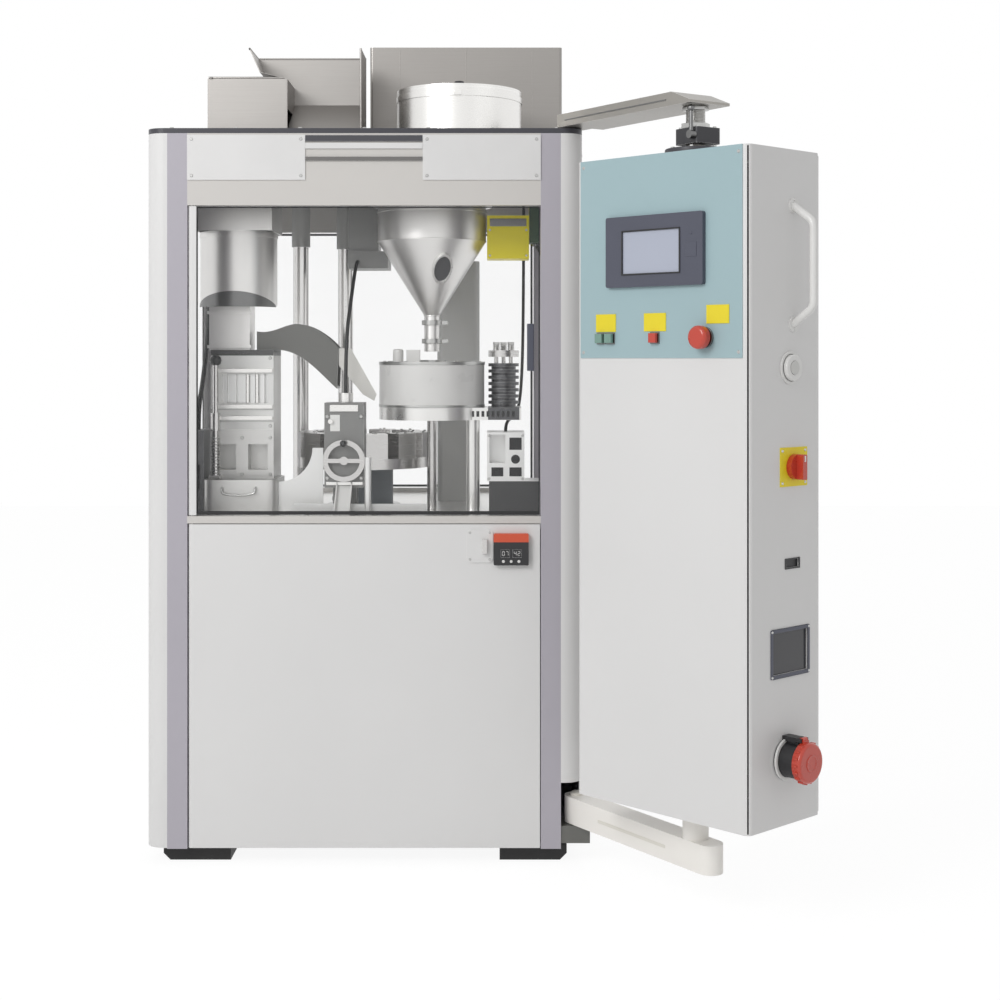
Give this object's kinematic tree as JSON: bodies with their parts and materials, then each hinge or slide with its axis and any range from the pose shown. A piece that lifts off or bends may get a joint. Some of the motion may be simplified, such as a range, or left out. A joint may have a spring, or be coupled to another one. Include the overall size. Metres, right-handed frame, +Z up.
{
  "type": "capsule filling machine",
  "caption": "Floor-standing automatic capsule filler with a glazed work chamber, hoppers on top and a control pendant on swing arms.",
  "frame": {"origin": "on the floor, in the middle of the main cabinet's four feet", "axes": "+Z up, +X to the operator's right, and the cabinet's front faces -Y"},
  "size_m": [1.4942, 1.4212, 1.978],
  "materials": {
    "white_paint": "satin powder coat",
    "lilac_paint": "satin powder coat",
    "header_paint": "satin powder coat",
    "dark_paint": "satin powder coat",
    "black_rubber": "moulded",
    "brushed_steel": "brushed",
    "bright_steel": "polished",
    "dark_steel": "grey enamel",
    "aluminium": "satin anodised",
    "cast_grey": "painted casting",
    "clear_pane": "clear",
    "display_glass": "coated",
    "teal_paint": "satin powder coat",
    "bezel_plastic": "moulded",
    "black_plastic": "moulded",
    "white_plastic": "moulded",
    "yellow_plastic": "printed plate",
    "green_plastic": "moulded",
    "red_plastic": "moulded",
    "cream_paint": "satin powder coat",
    "belt_rubber": "moulded"
  },
  "bodies": {
    "cabinet": {"feet": "black_rubber", "base_frame": "lilac_paint", "side_panels": "white_paint", "side_windows": "clear_pane", "work_table": "brushed_steel", "header_panels": "header_paint", "header_trim": "white_paint", "deck": "dark_paint", "powder_drum": "bright_steel", "rear_cover": "brushed_steel", "capsule_hopper": "brushed_steel", "powder_funnel": "brushed_steel", "doser_bowl": "white_plastic", "doser_stand": "brushed_steel", "index_box": "cast_grey", "station_blocks": "brushed_steel", "outlet_chute": "white_plastic", "capsule_bin": "brushed_steel", "capsule_chute": "dark_steel", "sorter": "brushed_steel", "upper_frame": "bright_steel", "level_controller": "yellow_plastic", "drive_belt": "belt_rubber", "drive_motors": "cast_grey", "vacuum_pump": "cast_grey", "arm_brackets": "dark_steel"},
    "latch": {"door_latch": "bright_steel"},
    "front_guard": {"front_guard": "clear_pane"},
    "rear_guard": {"rear_guard": "clear_pane"},
    "rear_door": {"rear_door": "white_paint"},
    "powder_lid": {"powder_lid": "bright_steel"},
    "stirrer": {"funnel_stirrer": "bright_steel"},
    "turret": {"turret": "bright_steel"},
    "dosing_disc": {"dosing_disc": "bright_steel"},
    "tamping_head": {"tamping_head": "bright_steel"},
    "magazine": {"capsule_magazine": "aluminium"},
    "handwheel": {"station_handwheel": "bright_steel"},
    "camshaft": {"camshaft": "bright_steel"},
    "motor_pulley": {"motor_pulley": "cast_grey"},
    "swing_arms": {"swing_arms": "cream_paint"},
    "clamp_lever": {"clamp_lever": "bright_steel"},
    "pendant_door": {"pendant_door": "white_paint"},
    "start_button": {"start_button": "green_plastic"},
    "jog_button": {"jog_button": "green_plastic"},
    "stop_button": {"stop_button": "red_plastic"},
    "stop_mushroom": {"stop_mushroom": "red_plastic"},
    "reset_button": {"reset_button": "white_plastic"},
    "main_switch": {"main_switch": "red_plastic"},
    "inlet_cap": {"inlet_cap": "red_plastic"},
    "lower_door": {"lower_door": "white_paint", "batch_counter": "black_plastic"},
    "pendant": {"pendant_shell": "white_paint", "operator_panel": "teal_paint", "display_bezel": "bezel_plastic", "pendant_glazing": "display_glass", "legend_plates": "yellow_plastic", "side_handle": "white_plastic", "inlet_socket": "black_plastic", "control_plate": "aluminium", "swivel_disc": "dark_paint"}
  },
  "joints": [
    {"name": "lower_door_hinge", "type": "hinge", "parent": "cabinet", "child": "lower_door", "pos_m": [-0.402, -0.422, 0.4], "axis": [0, 0, -1], "range_deg": [0, 90]},
    {"name": "latch_turn", "type": "hinge", "parent": "lower_door", "child": "latch", "pos_m": [0.281, -0.43, 0.742], "axis": [0, 1, 0], "range_deg": [0, 90]},
    {"name": "front_guard_hinge", "type": "hinge", "parent": "cabinet", "child": "front_guard", "pos_m": [-0.402, -0.422, 1.1], "axis": [0, 0, -1], "range_deg": [0, 90]},
    {"name": "rear_guard_hinge", "type": "hinge", "parent": "cabinet", "child": "rear_guard", "pos_m": [-0.402, 0.422, 1.1], "axis": [0, 0, 1], "range_deg": [0, 90]},
    {"name": "rear_door_hinge", "type": "hinge", "parent": "cabinet", "child": "rear_door", "pos_m": [-0.402, 0.422, 0.4], "axis": [0, 0, 1], "range_deg": [0, 90]},
    {"name": "powder_lid_lift", "type": "slide", "parent": "cabinet", "child": "powder_lid", "axis": [0, 0, 1], "range_m": [0, 0.12]},
    {"name": "stirrer_turn", "type": "hinge", "parent": "cabinet", "child": "stirrer", "pos_m": [0.147, -0.15, 1.4], "axis": [0, 0, 1], "continuous": true},
    {"name": "turret_index", "type": "hinge", "parent": "cabinet", "child": "turret", "pos_m": [-0.03, -0.06, 0.9], "axis": [0, 0, 1], "continuous": true},
    {"name": "dosing_index", "type": "hinge", "parent": "cabinet", "child": "dosing_disc", "pos_m": [0.147, -0.15, 1.06], "axis": [0, 0, 1], "continuous": true},
    {"name": "tamping_lift", "type": "slide", "parent": "cabinet", "child": "tamping_head", "axis": [0, 0, 1], "range_m": [0, 0.015]},
    {"name": "magazine_lift", "type": "slide", "parent": "cabinet", "child": "magazine", "axis": [0, 0, 1], "range_m": [0, 0.02]},
    {"name": "height_wheel_turn", "type": "hinge", "parent": "cabinet", "child": "handwheel", "pos_m": [-0.055, -0.34, 0.935], "axis": [0, 1, 0], "continuous": true},
    {"name": "camshaft_turn", "type": "hinge", "parent": "cabinet", "child": "camshaft", "pos_m": [0, 0.06, 0.56], "axis": [1, 0, 0], "continuous": true},
    {"name": "motor_turn", "type": "hinge", "parent": "cabinet", "child": "motor_pulley", "pos_m": [-0.2, 0.06, 0.18], "axis": [1, 0, 0], "continuous": true},
    {"name": "arm_swing", "type": "hinge", "parent": "cabinet", "child": "swing_arms", "pos_m": [0.497, -0.388, 0.9], "axis": [0, 0, 1], "range_deg": [-14, 86]},
    {"name": "clamp_turn", "type": "hinge", "parent": "swing_arms", "child": "clamp_lever", "pos_m": [0.72219, -0.79338, 1.653], "axis": [0.829, 0.5592, 0], "range_deg": [0, 60]},
    {"name": "pendant_swivel", "type": "hinge", "parent": "swing_arms", "child": "pendant", "pos_m": [0.73633, -0.74283, 0.9], "axis": [0, 0, -1], "range_deg": [-60, 90]},
    {"name": "pendant_door_hinge", "type": "hinge", "parent": "pendant", "child": "pendant_door", "pos_m": [0.66448, -0.5036, 0.9], "axis": [0, 0, 1], "range_deg": [0, 90]},
    {"name": "start_press", "type": "slide", "parent": "pendant", "child": "start_button", "axis": [0.7193, 0.6947, 0], "range_m": [0, 0.004], "stiffness_N_per_m": 300},
    {"name": "jog_press", "type": "slide", "parent": "pendant", "child": "jog_button", "axis": [0.7193, 0.6947, 0], "range_m": [0, 0.004], "stiffness_N_per_m": 300},
    {"name": "stop_press", "type": "slide", "parent": "pendant", "child": "stop_button", "axis": [0.7193, 0.6947, 0], "range_m": [0, 0.004], "stiffness_N_per_m": 300},
    {"name": "mushroom_press", "type": "slide", "parent": "pendant", "child": "stop_mushroom", "axis": [0.7193, 0.6947, 0], "range_m": [0, 0.004]},
    {"name": "reset_press", "type": "slide", "parent": "pendant", "child": "reset_button", "axis": [-0.6947, 0.7193, 0], "range_m": [0, 0.004], "stiffness_N_per_m": 300},
    {"name": "main_switch_turn", "type": "hinge", "parent": "pendant", "child": "main_switch", "pos_m": [0.92978, -0.90356, 0.957], "axis": [0.6947, -0.7193, 0], "range_deg": [0, 90]},
    {"name": "inlet_cap_hinge", "type": "hinge", "parent": "pendant", "child": "inlet_cap", "pos_m": [0.93122, -0.94248, 0.407], "axis": [0.7193, 0.6947, 0], "range_deg": [-110, 0]}
  ],
  "couplings": [
    {"joint": "turret_index", "follows": "camshaft_turn", "ratio": 0.083333},
    {"joint": "dosing_index", "follows": "camshaft_turn", "ratio": -0.083333},
    {"joint": "motor_turn", "follows": "camshaft_turn", "ratio": 2}
  ]
}
